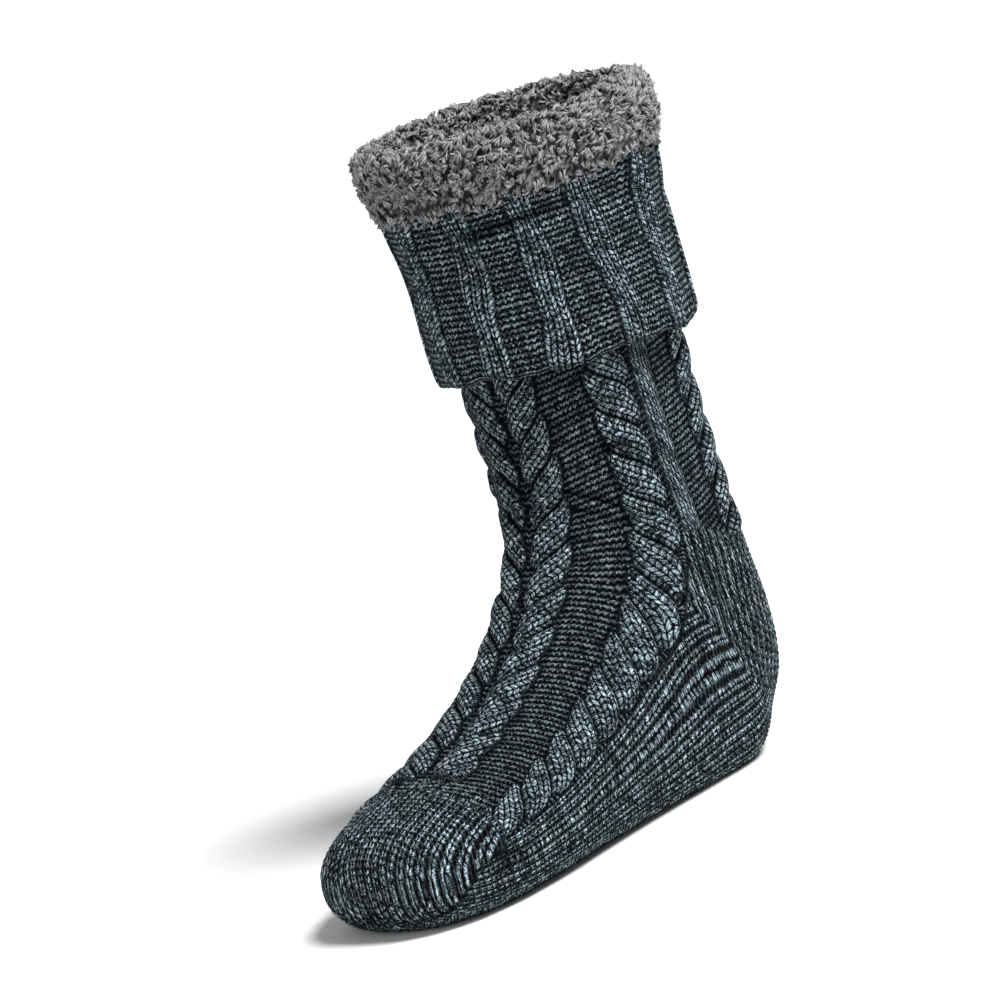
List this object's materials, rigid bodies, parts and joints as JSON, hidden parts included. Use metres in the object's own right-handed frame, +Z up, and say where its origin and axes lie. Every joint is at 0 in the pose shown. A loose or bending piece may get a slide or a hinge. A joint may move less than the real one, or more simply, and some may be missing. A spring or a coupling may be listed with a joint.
{
  "type": "slipper sock",
  "caption": "calf-high cable-knit slipper sock with turned-down ribbed cuff, fleece collar, leather tab and gripper dots, standing on its sole",
  "frame": {"origin": "on the floor under the middle of the whole sock's box", "axes": "+X towards the toe, +Y towards the sock's left side, +Z up"},
  "size_m": [0.2956, 0.1492, 0.3259],
  "materials": {
    "knit": "heathered slate blue-grey cable knit",
    "cuff_knit": "heathered slate blue-grey rib knit",
    "fleece": "curly grey fleece pile",
    "leather": "smooth tan leather",
    "silicone": "glossy half-clear silicone"
  },
  "bodies": {
    "root": {"fleece_collar": "fleece", "gripper_dot_row10_left1": "silicone", "gripper_dot_row10_left3": "silicone", "gripper_dot_row10_right1": "silicone", "gripper_dot_row10_right3": "silicone", "gripper_dot_row11_left2": "silicone", "gripper_dot_row11_middle0": "silicone", "gripper_dot_row11_right2": "silicone", "gripper_dot_row12_left1": "silicone", "gripper_dot_row12_left3": "silicone", "gripper_dot_row12_right1": "silicone", "gripper_dot_row12_right3": "silicone", "gripper_dot_row13_left2": "silicone", "gripper_dot_row13_middle0": "silicone", "gripper_dot_row13_right2": "silicone", "gripper_dot_row1_left2": "silicone", "gripper_dot_row1_middle0": "silicone", "gripper_dot_row1_right2": "silicone", "gripper_dot_row2_left1": "silicone", "gripper_dot_row2_right1": "silicone", "gripper_dot_row3_left2": "silicone", "gripper_dot_row3_middle0": "silicone", "gripper_dot_row3_right2": "silicone", "gripper_dot_row4_left1": "silicone", "gripper_dot_row4_right1": "silicone", "gripper_dot_row5_left2": "silicone", "gripper_dot_row5_middle0": "silicone", "gripper_dot_row5_right2": "silicone", "gripper_dot_row6_left1": "silicone", "gripper_dot_row6_left3": "silicone", "gripper_dot_row6_right1": "silicone", "gripper_dot_row6_right3": "silicone", "gripper_dot_row7_left2": "silicone", "gripper_dot_row7_middle0": "silicone", "gripper_dot_row7_right2": "silicone", "gripper_dot_row8_left1": "silicone", "gripper_dot_row8_right1": "silicone", "gripper_dot_row9_left2": "silicone", "gripper_dot_row9_middle0": "silicone", "gripper_dot_row9_right2": "silicone", "leather_tab": "leather", "ribbed_cuff": "cuff_knit", "sock_body": "knit"}
  },
  "joints": []
}
